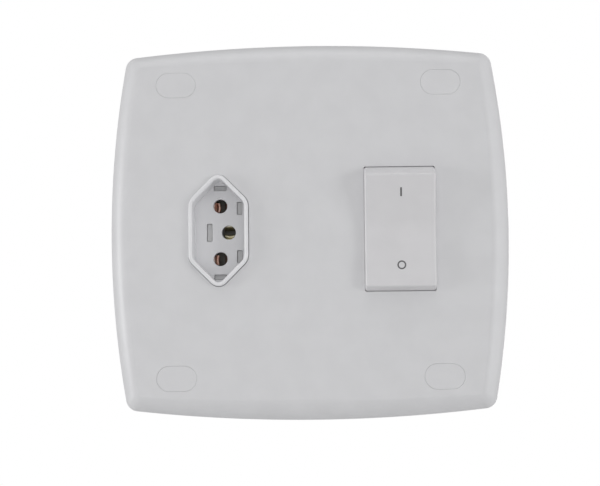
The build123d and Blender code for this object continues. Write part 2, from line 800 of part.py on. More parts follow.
switch_grip = terminal_half_z - wire_chamber / 2 + screw_bite
for wire, pole in (("line", -1), ("neutral", 1)):
    x = rocker_x + pole * pole_place
    parts[f"cradle_terminal_{wire}"] = make_cradle_terminal(pole)
    parts[f"fixed_terminal_{wire}"] = make_fixed_terminal(pole)
    parts[f"contact_lever_{wire}"] = make_contact_lever(pole)
    parts[f"plunger_{wire}"] = make_plunger(pole)
    parts[f"plunger_spring_{wire}"] = make_plunger_spring(pole)
    arm = lever_arm_plane(x)
    moving_centre = arm.origin - arm.x_dir * button_place + arm.z_dir * button_thickness
    moving_face = Plane(origin=moving_centre, x_dir=arm.x_dir, z_dir=-arm.z_dir)
    parts[f"moving_contact_{wire}"] = make_contact_button(moving_face)
    fixed_face = Plane(origin=(x, fixed_contact_y, -button_place), x_dir=(1, 0, 0), z_dir=(0, 1, 0))
    parts[f"fixed_contact_{wire}"] = make_contact_button(fixed_face)
    for place, side in (("in", 1), ("out", -1)):
        end_z = side * (terminal_place + terminal_half_z + screw_stand)
        end = Plane(origin=(x, base_screw_y, end_z), x_dir=(1, 0, 0), z_dir=(0, 0, -side))
        parts[f"switch_screw_{wire}_{place}"] = make_clamp_screw(end, switch_grip)

os.makedirs("parts", exist_ok=True)
for name, part in parts.items():
    part.label = name
    export_step(part, f"parts/{name}.step")
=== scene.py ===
import json
from math import asin, atan2, cos, pi, radians, sin, sqrt, tan

import bmesh
import bpy
from mathutils import Matrix, Vector
from mathutils.geometry import tessellate_polygon


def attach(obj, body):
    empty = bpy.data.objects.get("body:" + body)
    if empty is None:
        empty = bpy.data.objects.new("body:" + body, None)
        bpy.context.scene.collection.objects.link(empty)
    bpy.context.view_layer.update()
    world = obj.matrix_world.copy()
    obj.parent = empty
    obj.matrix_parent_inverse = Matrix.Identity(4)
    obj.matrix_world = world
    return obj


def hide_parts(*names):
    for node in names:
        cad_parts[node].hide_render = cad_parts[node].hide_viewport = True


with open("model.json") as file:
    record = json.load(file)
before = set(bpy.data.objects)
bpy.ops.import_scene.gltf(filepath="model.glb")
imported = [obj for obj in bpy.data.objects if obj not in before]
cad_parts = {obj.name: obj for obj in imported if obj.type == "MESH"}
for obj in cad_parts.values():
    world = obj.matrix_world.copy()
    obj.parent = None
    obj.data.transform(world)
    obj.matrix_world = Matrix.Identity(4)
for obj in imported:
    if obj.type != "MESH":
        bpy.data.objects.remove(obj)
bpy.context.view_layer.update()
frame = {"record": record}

MM = 0.001

# Camera, fitted to the photograph
camera_place = (9.6, -531.5, -42.8)
camera_yaw = -1.41
camera_pitch = 4.17
camera_roll = -0.56
focal_pixels = 1486.9
photo_width = 600
sensor_width = 36.0
camera_near = 0.01
camera_far = 20.0

# Cover plate, in millimetres
plate_half_width = 71.0
plate_half_height = 67.0
plate_depth = 9.0
plate_wall = 2.2
side_bulge = 5.8
end_bulge = 3.9
skirt_height = 1.6
rim_corner = 4.5
face_corner = 1.5
roll_side = 6.8
roll_end = 7.2
roll_corner_x = 5.3
roll_corner_z = 5.0
roll_first_angle = 8.0
roll_last_angle = 86.0
inner_face = plate_depth - plate_wall
lip_round = 0.22
fine_lip_round = 0.1

# Capped wall screws
screw_half_x = 47.0
screw_half_z = 52.0
cap_length = 14.1
cap_width = 8.9
cap_thickness = 1.3
cap_gap = 0.02
cap_recess = 0.03
loose_cap_lift = 0.015
cap_ledge = 0.8
cap_round = 0.14
cap_prong_wall = 1.0
cap_prong_depth = 2.4
cap_prong_width = 2.8
cap_prong_inset = 0.35
boss_floor = 2.0
boss_wall = 1.3
screw_slot_length = 8.4
screw_slot_width = 4.4

# Hooks and ribs behind the plate
ledge_proud = 1.2
ledge_back = 3.0
ledge_width = 10.0
hook_width = 8.0
hook_wall = 1.6
hook_gap = 0.2
hook_nose = 1.6
guide_wall = 1.2
guide_length = 30.0
guide_height = 3.5
guide_gap = 0.25

# Socket
socket_x = -32.0
pin_pitch = 19.0
earth_offset = 3.0
pin_hole_radius = 2.5
pin_hole_round = 0.18
collar_half_width = 10.55
collar_side = 10.55
collar_front = 11.0
collar_wall = 1.4
collar_apex_radius = 3.5
collar_side_radius = 5.0
collar_gap = 0.16
collar_outer_round = 0.6
collar_inner_round = 0.8
floor_round = 0.05
floor_back = 2.0
socket_half_x = 13.5
socket_half_z = 22.5
socket_back = 13.0
body_wall = 1.6
body_corner = 1.5
chamber_rib = 1.2
driver_window = 4.6
socket_screw_y = 7.25

# Windows in the socket's floor: place across and up from its middle, width and height
end_window = (0.0, 16.0, 4.6, 1.9)
left_window = (-3.9, 0.0, 2.0, 6.5)
right_window = (6.9, 8.7, 2.0, 4.6)
window_corner = 0.4

# Depths between which painted shade turns the pin contacts grey and non-metallic, standing for the dim back
# of the holes
painted_shade_start_y = 8.0
painted_shade_full_y = 9.6

# Bead pressed into one blade of each pin contact: how far off the pin's middle, and how bowed towards it
bead_radius = 0.52
bead_half_length = 1.7
bead_y = 6.0
line_bead_spread = 1.0
line_bead_bow = 0.3
neutral_bead_spread = 1.2
neutral_bead_bow = -0.3
earth_bead_spread = 0.8
earth_bead_bow = -0.35

# Rocker
rocker_x = 32.0
opening_half_x = 12.5
opening_half_z = 22.06
opening_corner = 0.6
opening_lip = 0.8
pocket_half_x = 13.0
pocket_half_z = 22.95
switch_wall = 2.0
pivot_y = -4.0
rocker_half_x = 12.45
rocker_radius = 22.4
rocker_lean = radians(5.0)
rocker_slope = radians(8.5)
rocker_vertex = 8.0
rocker_valley_radius = 25.0
rocker_wall = 1.8
rocker_skirt = 3.5
rocker_end_round = 0.8
rocker_side_round = 0.9
rocker_rib = 1.4
pin_bore = 1.3
pivot_boss = 2.6
pole_place = 6.5
sleeve_half = 2.53
sleeve_bore = 1.58
sleeve_end = 10.0
spring_top = 2.9

# Marks on the rocker
mark_height = 3.1
mark_stroke = 0.62
mark_ring_stroke = 0.5
mark_aside = 0.3
mark_lift = 0.03
mark_on_place = 13.3
mark_off_place = -12.2

# Fineness of the meshes
bead_steps = 12
edge_steps = 6
corner_steps = 10
side_steps = 18
roll_steps = 18
hole_steps = 64
end_steps = 14
sharp_angle = radians(32.0)
weld_distance = 0.002
smallest_round = 0.1

# How far the cutters reach past what they cut
cut_margin = 0.4
hollow_overrun = 2.0

# Looks, with the sizes in millimetres
plastic_ior = 1.53
ink_ior = 1.45
patch_detail = 3.0
patch_dark_end = 0.35
patch_light_end = 0.65
grain_detail = 2.0
plastic_patch = 9.0
plastic_grain_height = 0.004
plastic_grain_strength = 0.35
tool_mark_size = 0.15
tool_mark_height = 0.003
tool_mark_strength = 0.4
sheet_patch = 1.6
drawn_sheet = (1, 0.25, 1)
drawn_wire = (1, 0.2, 1)
painted_shade_tone = "#8C8880"

# Studio: each lamp's place and width in metres and its power in watts
floor_half_width = 1.2
floor_drop = 0.3
floor_patch = 120.0
floor_roughness = 0.8
fill_strength = 0.43
soft_lights = {
    "front_softbox": ((-0.044, -1.244, -0.109), 0.6, 1.4),
    "left_softbox": ((-0.880, -0.187, 0.0), 0.29, 2.5),
    "right_softbox": ((1.556, -1.090, 0.0), 0.9, 8.1),
    "right_edge_light": ((1.248, 0.065, 0.0), 0.6, 1.3),
    "upper_softbox": ((0.0, -0.884, 0.884), 0.6, 0.8),
    "top_softbox": ((0.0, -0.324, 1.207), 0.6, 2.8),
    "back_softbox": ((0.2, 1.25, 0.15), 0.8, 4.0),
}


class Shell:
    """Collects the rings and faces of one moulded piece, in millimetres."""

    def __init__(self):
        self.points = []
        self.faces = []

    def loop(self, points):
        """Adds a loop of (x, y, z) points and returns their numbers."""
        first = len(self.points)
        self.points += points
        return list(range(first, len(self.points)))

    def ring(self, outline, y):
        """Adds an outline of (x, z) points at a depth and returns its point numbers."""
        return self.loop([(x, y, z) for x, z in outline])

    def band(self, one, other):
        """Joins two rings of as many points by a band of quads."""
        count = len(one)
        for i in range(count):
            j = (i + 1) % count
            self.faces.append((one[i], one[j], other[j], other[i]))

    def bands(self, rings):
        """Joins each ring to the next."""
        for one, other in zip(rings, rings[1:]):
            self.band(one, other)

    def fill(self, outer, *holes):
        """Fills the flat sheet inside a ring, round any holes in it."""
        loops = [outer, *holes]
        numbers = [i for loop in loops for i in loop]
        corners = [[Vector(self.points[i]) for i in loop] for loop in loops]
        for face in tessellate_polygon(corners):
            self.faces.append(tuple(numbers[i] for i in face))

    def prism(self, one, other):
        """Adds a closed prism between two loops of points."""
        start = self.loop(one)
        end = self.loop(other)
        self.faces += [tuple(start), tuple(end)]
        self.band(start, end)

    def block(self, xs, ys, zs):
        """Adds a closed box between pairs of places along the three axes."""
        outline = [(xs[0], zs[0]), (xs[1], zs[0]), (xs[1], zs[1]), (xs[0], zs[1])]
        self.prism([(x, ys[0], z) for x, z in outline], [(x, ys[1], z) for x, z in outline])

    def piece(self, name):
        """Makes the Blender object, smooth apart from its sharp edges."""
        mesh = bpy.data.meshes.new(name)
        mesh.from_pydata([Vector(point) * MM for point in self.points], [], self.faces)
        work = bmesh.new()
        work.from_mesh(mesh)
        bmesh.ops.remove_doubles(work, verts=work.verts, dist=weld_distance * MM)
        bmesh.ops.recalc_face_normals(work, faces=work.faces)
        work.to_mesh(mesh)
        work.free()
        thing = bpy.data.objects.new(name, mesh)
        bpy.context.scene.collection.objects.link(thing)
        smooth(thing)
        return thing


def smooth(thing):
    """Shades a piece smooth between its sharp edges, with the large faces setting the normals."""
    mesh = thing.data
    mesh.polygons.foreach_set("use_smooth", [True] * len(mesh.polygons))
    mesh.set_sharp_from_angle(angle=sharp_angle)
    weighted = thing.modifiers.new("large faces first", "WEIGHTED_NORMAL")
    weighted.keep_sharp = True


def combine(thing, other, operation):
    """Cuts away or joins another closed piece, which is used up."""
    thing.modifiers.clear()
    other.modifiers.clear()
    join = thing.modifiers.new("join", "BOOLEAN")
    join.operation = operation
    join.solver = "EXACT"
    join.object = other
    bpy.context.view_layer.update()
    seen = thing.evaluated_get(bpy.context.evaluated_depsgraph_get())
    mesh = bpy.data.meshes.new_from_object(seen)
    thing.modifiers.clear()
    thing.data = mesh
    bpy.data.objects.remove(other)
    smooth(thing)


# Outlines


def quarter_mirrored(quarter):
    """The whole outline from its quarter, which runs from the X axis to the Z axis."""
    upper = quarter + [(-x, z) for x, z in reversed(quarter[:-1])]
    lower = [(x, -z) for x, z in reversed(upper[1:-1])]
    return upper + lower


def plate_outline(share, inset=0.0):
    """The bulged outline of the plate, from the rim at share 0 to the edge of the face at share 1."""
    side = plate_half_width - share * roll_side - inset
    end = plate_half_height - share * roll_end - inset
    corner_x = plate_half_width - side_bulge - share * roll_corner_x - inset
    corner_z = plate_half_height - end_bulge - share * roll_corner_z - inset
    side_radius = (corner_z ** 2 + (side - corner_x) ** 2) / (2 * (side - corner_x))
    end_radius = (corner_x ** 2 + (end - corner_z) ** 2) / (2 * (end - corner_z))
    radius = rim_corner + share * (face_corner - rim_corner)
    side_centre = Vector((side - side_radius, 0))
    end_centre = Vector((0, end - end_radius))
    between = end_centre - side_centre
    gap = between.length
    reach = side_radius - radius
    along = (reach ** 2 - (end_radius - radius) ** 2 + gap ** 2) / (2 * gap)
    across = sqrt(reach ** 2 - along ** 2)
    unit = between / gap
    centre = side_centre + unit * along + Vector((-unit.y, unit.x)) * across
    first = atan2(centre.y, centre.x - side_centre.x)
    last = atan2(centre.y - end_centre.y, centre.x)
    quarter = []
    for i in range(side_steps):
        angle = first * i / side_steps
        quarter.append((side_centre.x + side_radius * cos(angle), side_radius * sin(angle)))
    for i in range(corner_steps):
        angle = first + (last - first) * i / corner_steps
        quarter.append((centre.x + radius * cos(angle), centre.y + radius * sin(angle)))
    for i in range(side_steps + 1):
        angle = last + (pi / 2 - last) * i / side_steps
        quarter.append((end_radius * cos(angle), end_centre.y + end_radius * sin(angle)))
    return quarter_mirrored(quarter)


def rounded(corners, radii):
    """A convex polygon with rounded corners, run anticlockwise."""
    outline = []
    count = len(corners)
    for i in range(count):
        here = Vector(corners[i])
        to_last = (Vector(corners[i - 1]) - here).normalized()
        to_next = (Vector(corners[(i + 1) % count]) - here).normalized()
        half = to_last.angle(to_next) / 2
        centre = here + (to_last + to_next).normalized() * (radii[i] / sin(half))
        start = here + to_last * (radii[i] / tan(half)) - centre
        for k in range(corner_steps + 1):
            spoke = Matrix.Rotation((pi - 2 * half) * k / corner_steps, 2) @ start
            outline.append((centre.x + spoke.x, centre.y + spoke.y))
    return outline


def rectangle(half_x, half_z):
    """A rectangle with sharp corners."""
    return [(half_x, -half_z), (half_x, half_z), (-half_x, half_z), (-half_x, -half_z)]


def rounded_rectangle(half_x, half_z, corner):
    """A rectangle with rounded corners."""
    return rounded(rectangle(half_x, half_z), [corner] * 4)


def oblong(length, width):
    """A slot outline with round ends."""
    radius = width / 2
    straight = length / 2 - radius
    half = hole_steps // 2
    turns = [pi * k / half for k in range(half + 1)]
    right = [(straight + radius * sin(turn), -radius * cos(turn)) for turn in turns]
    return right + [(-x, -z) for x, z in right]


def circle(radius):
    """A round outline."""
    turns = [2 * pi * k / hole_steps for k in range(hole_steps)]
    return [(radius * cos(turn), radius * sin(turn)) for turn in turns]


def collar_outline(inset):
    """The six-sided outline of the socket's collar."""
    half_width = collar_half_width - inset
    apex = collar_side + collar_half_width - inset * sqrt(2)
    shoulder = apex - half_width
    corners = [
        (half_width, -shoulder),
        (half_width, shoulder),
        (0, apex),
        (-half_width, shoulder),
        (-half_width, -shoulder),
        (0, -apex),
    ]
    side = collar_side_radius - inset
    top = collar_apex_radius - inset
    return rounded(corners, [side, side, top, side, side, top])


def moved(outline, x, z=0.0):
    """The outline moved sideways and up."""
    return [(px + x, pz + z) for px, pz in outline]


def quarter_round(radius):
    """Pairs of how far off the wall and how deep below the flat, from the flat to the wall."""
    turns = [pi / 2 * k / edge_steps for k in range(edge_steps + 1)]
    return [(radius * (1 - sin(turn)), radius * (1 - cos(turn))) for turn in turns]


# Cover plate


def roll_sections(depth):
    """The height and share of each section through the rolled border, from the skirt to the face."""
    first = radians(roll_first_angle)
    last = radians(roll_last_angle)
    sections = []
    for step in range(roll_steps + 1):
        angle = first + (last - first) * step / roll_steps
        share = (cos(first) - cos(angle)) / (cos(first) - cos(last))
        rise = (sin(angle) - sin(first)) / (sin(last) - sin(first))
        sections.append((skirt_height + rise * (depth - skirt_height), share))
    return sections


def add_mouth(shell, outline_at, wall_end, lip=lip_round):
    """Adds an opening in the face with a rounded lip; returns its ring on the face and its last ring."""
    rings = [shell.ring(outline_at(out), deep - plate_depth) for out, deep in quarter_round(lip)]
    rings.append(shell.ring(outline_at(0.0), wall_end))
    shell.bands(rings)
    return rings[0], rings[-1]


def add_screw_place(shell, x, z):
    """Adds a capped screw place: mouth, seat, well, slot and boss; returns its rings on both faces."""
    length = cap_length + 2 * cap_gap
    width = cap_width + 2 * cap_gap
    seat_y = cap_thickness + cap_recess - plate_depth
    face_ring, seat_ring = add_mouth(
        shell, lambda out: moved(oblong(length + 2 * out, width + 2 * out), x, z), seat_y, fine_lip_round
    )
    well = moved(oblong(length - 2 * cap_ledge, width - 2 * cap_ledge), x, z)
    slot = moved(oblong(screw_slot_length, screw_slot_width), x, z)
    slot_back = shell.ring(slot, 0.0)
    shell.bands([
        seat_ring,
        shell.ring(well, seat_y),
        shell.ring(well, -boss_floor),
        shell.ring(slot, -boss_floor),
        slot_back,
    ])
    boss = moved(rectangle(length / 2 + boss_wall, width / 2 + boss_wall), x, z)
    boss_back = shell.ring(boss, 0.0)
    boss_front = shell.ring(boss, -inner_face)
    shell.fill(boss_back, slot_back)
    shell.band(boss_back, boss_front)
    return face_ring, boss_front


def add_hooks(shell, x, half_z):
    """Adds the hooks that catch a device's ledges above and below it."""
    catch = half_z + hook_gap
    near = catch + ledge_proud
    far = near + hook_wall
    tip = hook_nose - ledge_back
    profile = [
        (-inner_face, near),
        (-ledge_back, near),
        (-ledge_back, catch),
        (tip, near),
        (tip, far),
        (-inner_face, far),
    ]
    for side in (-1, 1):
        left = [(x - hook_width / 2, y, side * z) for y, z in profile]
        right = [(x + hook_width / 2, y, side * z) for y, z in profile]
        shell.prism(left, right)


def make_cover_plate():
    """The hollow moulding with its rolled border, openings, screw bosses, ribs and hooks."""
    shell = Shell()
    outer = [shell.ring(plate_outline(0), 0.0)]
    outer += [shell.ring(plate_outline(share), -height) for height, share in roll_sections(plate_depth)]
    inner = [shell.ring(plate_outline(0, plate_wall), 0.0)]
    for height, share in roll_sections(inner_face):
        inner.append(shell.ring(plate_outline(share, plate_wall), -height))
    shell.bands(outer)
    shell.bands(inner)
    shell.band(outer[0], inner[0])

    face_holes = []
    back_holes = []
    for x in (-screw_half_x, screw_half_x):
        for z in (-screw_half_z, screw_half_z):
            face_ring, boss_ring = add_screw_place(shell, x, z)
            face_holes.append(face_ring)
            back_holes.append(boss_ring)

    face_ring, back_ring = add_mouth(
        shell, lambda out: moved(collar_outline(-collar_gap - out), socket_x), -inner_face
    )
    face_holes.append(face_ring)
    back_holes.append(back_ring)
    lip_y = opening_lip - plate_depth
    face_ring, lip_ring = add_mouth(
        shell,
        lambda out: moved(
            rounded_rectangle(opening_half_x + out, opening_half_z + out, opening_corner + out), rocker_x
        ),
        lip_y,
        fine_lip_round,
    )
    face_holes.append(face_ring)
    pocket = moved(rectangle(pocket_half_x, pocket_half_z), rocker_x)
    pocket_front = shell.ring(pocket, lip_y)
    pocket_back = shell.ring(pocket, -inner_face)
    shell.fill(pocket_front, lip_ring)
    shell.band(pocket_front, pocket_back)
    back_holes.append(pocket_back)
    shell.fill(outer[-1], *face_holes)
    shell.fill(inner[-1], *back_holes)

    for x, half_x in ((socket_x, socket_half_x), (rocker_x, pocket_half_x + switch_wall)):
        for side in (-1, 1):
            near = x + side * (half_x + guide_gap)
            ys = (-inner_face, guide_height - inner_face)
            shell.block((near, near + side * guide_wall), ys, (-guide_length / 2, guide_length / 2))
    add_hooks(shell, socket_x, socket_half_z)
    add_hooks(shell, rocker_x, pocket_half_z + switch_wall)
    return shell.piece("plate_moulding")


def make_cap(name, x, z):
    """An oblong blind cap with a rounded front edge and two prongs."""
    shell = Shell()
    front = cap_recess - plate_depth
    back = front + cap_thickness
    rings = []
    for inwards, deep in quarter_round(cap_round):
        outline = oblong(cap_length - 2 * inwards, cap_width - 2 * inwards)
        rings.append(shell.ring(moved(outline, x, z), front + deep))
    rings.append(shell.ring(moved(oblong(cap_length, cap_width), x, z), back))
    shell.bands(rings)
    shell.fill(rings[0])
    shell.fill(rings[-1])
    far = cap_length / 2 - cap_ledge - cap_prong_inset
    for side in (-1, 1):
        xs = (x + side * far, x + side * (far - cap_prong_wall))
        shell.block(xs, (back, back + cap_prong_depth), (z - cap_prong_width / 2, z + cap_prong_width / 2))
    return shell.piece(name)


# Socket


def socket_windows():
    """The outlines of the five windows in the socket's floor."""
    windows = []
    for x, z, width, height in (end_window, left_window, right_window):
        # A window off the middle has a twin on the other side of it
        for side in (-1, 1) if z else (1,):
            outline = rounded_rectangle(width / 2, height / 2, window_corner)
            windows.append(moved(outline, socket_x + x, side * z))
    return windows


def make_socket_housing():
    """The box with the collar in front, the plug's recess and its floor with holes and windows."""
    shell = Shell()
    outline = moved(collar_outline(0), socket_x)
    rings = [shell.ring(outline, -inner_face)]
    for inwards, deep in reversed(quarter_round(collar_outer_round)):
        rings.append(shell.ring(moved(collar_outline(inwards), socket_x), deep - collar_front))
    for off, deep in quarter_round(collar_inner_round):
        rings.append(shell.ring(moved(collar_outline(collar_wall - off), socket_x), deep - collar_front))
    for off, deep in quarter_round(floor_round):
        rings.append(shell.ring(moved(collar_outline(collar_wall + deep), socket_x), -off))
    shell.bands(rings)

    front_holes = []
    rear_holes = []
    for x, z in ((0, pin_pitch / 2), (0, -pin_pitch / 2), (earth_offset, 0)):
        hole = []
        for out, deep in quarter_round(pin_hole_round):
            hole.append(shell.ring(moved(circle(pin_hole_radius + out), socket_x + x, z), deep))
        hole.append(shell.ring(moved(circle(pin_hole_radius), socket_x + x, z), floor_back))
        shell.bands(hole)
        front_holes.append(hole[0])
        rear_holes.append(hole[-1])
    for window in socket_windows():
        front = shell.ring(window, 0.0)
        rear = shell.ring(window, floor_back)
        shell.band(front, rear)
        front_holes.append(front)
        rear_holes.append(rear)
    shell.fill(rings[-1], *front_holes)
    floor_rear = shell.ring(outline, floor_back)
    shell.fill(floor_rear, *rear_holes)

    box = moved(rounded_rectangle(socket_half_x, socket_half_z, body_corner), socket_x)
    cavity = moved(rectangle(socket_half_x - body_wall, socket_half_z - body_wall), socket_x)
    ceiling_y = body_wall - inner_face
    box_front = shell.ring(box, -inner_face)
    box_back = shell.ring(box, socket_back)
    cavity_back = shell.ring(cavity, socket_back)
    cavity_front = shell.ring(cavity, ceiling_y)
    collar_rear = shell.ring(outline, ceiling_y)
    shell.fill(box_front, rings[0])
    shell.band(box_front, box_back)
    shell.fill(box_back, cavity_back)
    shell.band(cavity_back, cavity_front)
    shell.fill(cavity_front, collar_rear)
    shell.band(collar_rear, floor_rear)
    half_rib = socket_half_x - body_wall / 2
    for z in (-pin_pitch / 4, pin_pitch / 4):
        xs = (socket_x - half_rib, socket_x + half_rib)
        shell.block(xs, (floor_back, socket_back), (z - chamber_rib / 2, z + chamber_rib / 2))
    for side in (-1, 1):
        xs = (socket_x - ledge_width / 2, socket_x + ledge_width / 2)
        zs = (side * socket_half_z, side * (socket_half_z + ledge_proud))
        shell.block(xs, (-inner_face, -ledge_back), zs)
    housing = shell.piece("socket_moulding")

    cutter = Shell()
    half = driver_window / 2
    for side, z in ((-1, pin_pitch / 2), (-1, -pin_pitch / 2), (1, 0)):
        inner = socket_x + side * (socket_half_x - body_wall - cut_margin)
        outer = socket_x + side * (socket_half_x + cut_margin)
        cutter.block((inner, outer), (socket_screw_y - half, socket_screw_y + half), (z - half, z + half))
    combine(housing, cutter.piece("window_cutter"), "DIFFERENCE")
    return housing


def make_pinch_bead(name, x, z, turn, spread, bow):
    """A rounded bead along one contact blade, its middle bowed towards the pin by the given amount."""
    shell = Shell()
    outward = Vector((cos(turn), 0, sin(turn)))
    along = Vector((-sin(turn), 0, cos(turn)))
    rings = []
    for step in range(bead_steps + 1):
        share = 2 * step / bead_steps - 1
        centre = Vector((x, bead_y, z)) + along * (share * bead_half_length)
        centre += outward * (spread - bow * (1 - share ** 2))
        ring = []
        for k in range(bead_steps):
            angle = 2 * pi * k / bead_steps
            ring.append(tuple(centre + (outward * cos(angle) + Vector((0, sin(angle), 0))) * bead_radius))
        rings.append(shell.loop(ring))
    shell.bands(rings)
    shell.faces += [tuple(rings[0]), tuple(rings[-1])]
    return shell.piece(name)


def make_pinch_beads():
    """The beads of the three pin contacts, each with the name of its material."""
    half_pitch = pin_pitch / 2
    line = make_pinch_bead(
        "pinch_bead_line", socket_x, half_pitch, pi, line_bead_spread, line_bead_bow
    )
    neutral = make_pinch_bead(
        "pinch_bead_neutral", socket_x, -half_pitch, pi, neutral_bead_spread, neutral_bead_bow
    )
    earth = make_pinch_bead(
        "pinch_bead_earth", socket_x + earth_offset, 0, -pi / 2, earth_bead_spread, earth_bead_bow
    )
    return [(line, "live_contact"), (neutral, "live_contact"), (earth, "earth_contact")]


# Rocker


def key_half(inset):
    """The upper half of the rocker's side view, as (up, front) points from the pivot."""
    radius = rocker_radius - inset
    crown = rocker_vertex - inset / cos(rocker_slope)
    valley = rocker_valley_radius + inset
    valley_centre = crown + valley / cos(rocker_slope)
    half = []
    for k in range(edge_steps + 1):
        angle = rocker_slope * k / edge_steps
        half.append((valley * sin(angle), valley_centre - valley * cos(angle)))
    end_round = max(rocker_end_round - inset, smallest_round)
    line = crown - end_round / cos(rocker_slope)
    rise = tan(rocker_slope)
    # The end round's centre: the face's line, moved in by the round, meets the outer circle moved in alike
    a = 1 + rise ** 2
    b = 2 * line * rise
    c = line ** 2 - (radius - end_round) ** 2
    up = (sqrt(b * b - 4 * a * c) - b) / (2 * a)
    centre = (up, line + up * rise)
    first = pi / 2 + rocker_slope
    last = atan2(centre[1], centre[0])
    for k in range(edge_steps + 1):
        angle = first + (last - first) * k / edge_steps
        half.append((centre[0] + end_round * cos(angle), centre[1] + end_round * sin(angle)))
    low = -asin(rocker_skirt / radius)
    for k in range(1, end_steps + 1):
        angle = last + (low - last) * k / end_steps
        half.append((radius * cos(angle), radius * sin(angle)))
    return half


def leaned(x, up, front):
    """The place of a point of the rocker's side view while the rocker rests."""
    y = pivot_y - front * cos(rocker_lean) - up * sin(rocker_lean)
    z = up * cos(rocker_lean) - front * sin(rocker_lean)
    return (x, y, z)


def key_loop(shell, inset, x, deeper=0.0):
    """Adds the rocker's side view at one x, with its open back pushed deeper."""
    half = key_half(inset)
    if deeper:
        half.append((half[-1][0], -rocker_skirt - deeper))
    points = [(-up, front) for up, front in reversed(half[1:])] + half
    return shell.loop([leaned(x, up, front) for up, front in points])


def add_key_bar(shell, outline, x0, x1):
    """Adds a closed bar along X whose (up, front) outline leans with the rocker."""
    shell.prism([leaned(x0, *point) for point in outline], [leaned(x1, *point) for point in outline])


def add_key_post(shell, outline, front0, front1):
    """Adds a closed post along the rocker's front axis from its (x, up) outline."""
    start = [leaned(x, up, front0) for x, up in outline]
    end = [leaned(x, up, front1) for x, up in outline]
    shell.prism(start, end)


def make_rocker():
    """The two-faced key: rounded edges, hollow, with its pivot boss and plunger sleeves."""
    shell = Shell()
    edge = quarter_round(rocker_side_round)
    loops = [key_loop(shell, inwards, rocker_x - rocker_half_x + deep) for inwards, deep in edge]
    for inwards, deep in reversed(edge):
        loops.append(key_loop(shell, inwards, rocker_x + rocker_half_x - deep))
    shell.bands(loops)
    shell.faces += [tuple(loops[0]), tuple(loops[-1])]
    key = shell.piece("rocker_moulding")

    hollow = Shell()
    reach = rocker_half_x - rocker_wall
    ends = [key_loop(hollow, rocker_wall, rocker_x + side * reach, hollow_overrun) for side in (-1, 1)]
    hollow.band(*ends)
    hollow.faces += [tuple(ends[0]), tuple(ends[1])]
    combine(key, hollow.piece("hollow_cutter"), "DIFFERENCE")

    x0 = rocker_x - reach - cut_margin
    x1 = rocker_x + reach + cut_margin
    rib_front = rocker_vertex - rocker_wall / 2
    half_rib = rocker_rib / 2
    rib = [(-half_rib, 0), (half_rib, 0), (half_rib, rib_front), (-half_rib, rib_front)]
    works = [Shell(), Shell(), Shell(), Shell()]
    add_key_bar(works[0], rib, x0, x1)
    add_key_bar(works[1], circle(pivot_boss), x0, x1)
    for side, work in ((-1, works[2]), (1, works[3])):
        sleeve = moved(rectangle(sleeve_half, sleeve_half), rocker_x + side * pole_place)
        add_key_post(work, sleeve, 0.0, -sleeve_end)
    for work in works:
        combine(key, work.piece("added_work"), "UNION")

    bores = [Shell(), Shell(), Shell()]
    wide = rocker_half_x + cut_margin
    add_key_bar(bores[0], circle(pin_bore), rocker_x - wide, rocker_x + wide)
    for side, bore in ((-1, bores[1]), (1, bores[2])):
        outline = moved(circle(sleeve_bore), rocker_x + side * pole_place)
        add_key_post(bore, outline, -spring_top, -sleeve_end - cut_margin)
    for bore in bores:
        combine(key, bore.piece("bore_cutter"), "DIFFERENCE")
    return key


def key_face_point(x, up, lift):
    """A point just proud of one of the rocker's two faces."""
    front = rocker_vertex + abs(up) * tan(rocker_slope) + lift / cos(rocker_slope)
    return leaned(x, up, front)


def make_on_mark():
    """The upright stroke on the rocker's upper face."""
    shell = Shell()
    outline = moved(rectangle(mark_stroke / 2, mark_height / 2), rocker_x + mark_aside, mark_on_place)
    shell.prism(
        [key_face_point(x, up, 0.0) for x, up in outline],
        [key_face_point(x, up, mark_lift) for x, up in outline],
    )
    return shell.piece("on_mark")


def make_off_mark():
    """The ring on the rocker's lower face."""
    shell = Shell()
    rings = []
    for radius, lift in (
        (mark_height / 2, 0.0),
        (mark_height / 2, mark_lift),
        (mark_height / 2 - mark_ring_stroke, mark_lift),
        (mark_height / 2 - mark_ring_stroke, 0.0),
    ):
        outline = moved(circle(radius), rocker_x + mark_aside, mark_off_place)
        rings.append(shell.loop([key_face_point(x, up, lift) for x, up in outline]))
    shell.bands(rings + rings[:1])
    return shell.piece("off_mark")


# Materials


def linear(hex_colour):
    """The linear colour of an sRGB hex value, by the curve of the sRGB standard."""
    channels = []
    for start in (1, 3, 5):
        value = int(hex_colour[start:start + 2], 16) / 255
        channels.append(value / 12.92 if value <= 0.04045 else ((value + 0.055) / 1.055) ** 2.4)
    return (*channels, 1.0)


def add_node(tree, kind, links=(), **settings):
    """Adds a node, sets its properties and input values, and links (its input, output socket) pairs."""
    node = tree.nodes.new(kind)
    for name, value in settings.items():
        if hasattr(node, name):
            setattr(node, name, value)
        else:
            node.inputs[name.replace("_", " ")].default_value = value
    for name, output in links:
        tree.links.new(node.inputs[name], output)
    return node


def new_material(name):
    """A material with its Principled shader; returns it, its node tree, the shader and the object place."""
    material = bpy.data.materials.new(name)
    material.use_nodes = True
    tree = material.node_tree
    shader = tree.nodes["Principled BSDF"]
    place = add_node(tree, "ShaderNodeTexCoord").outputs["Object"]
    return material, tree, shader, place


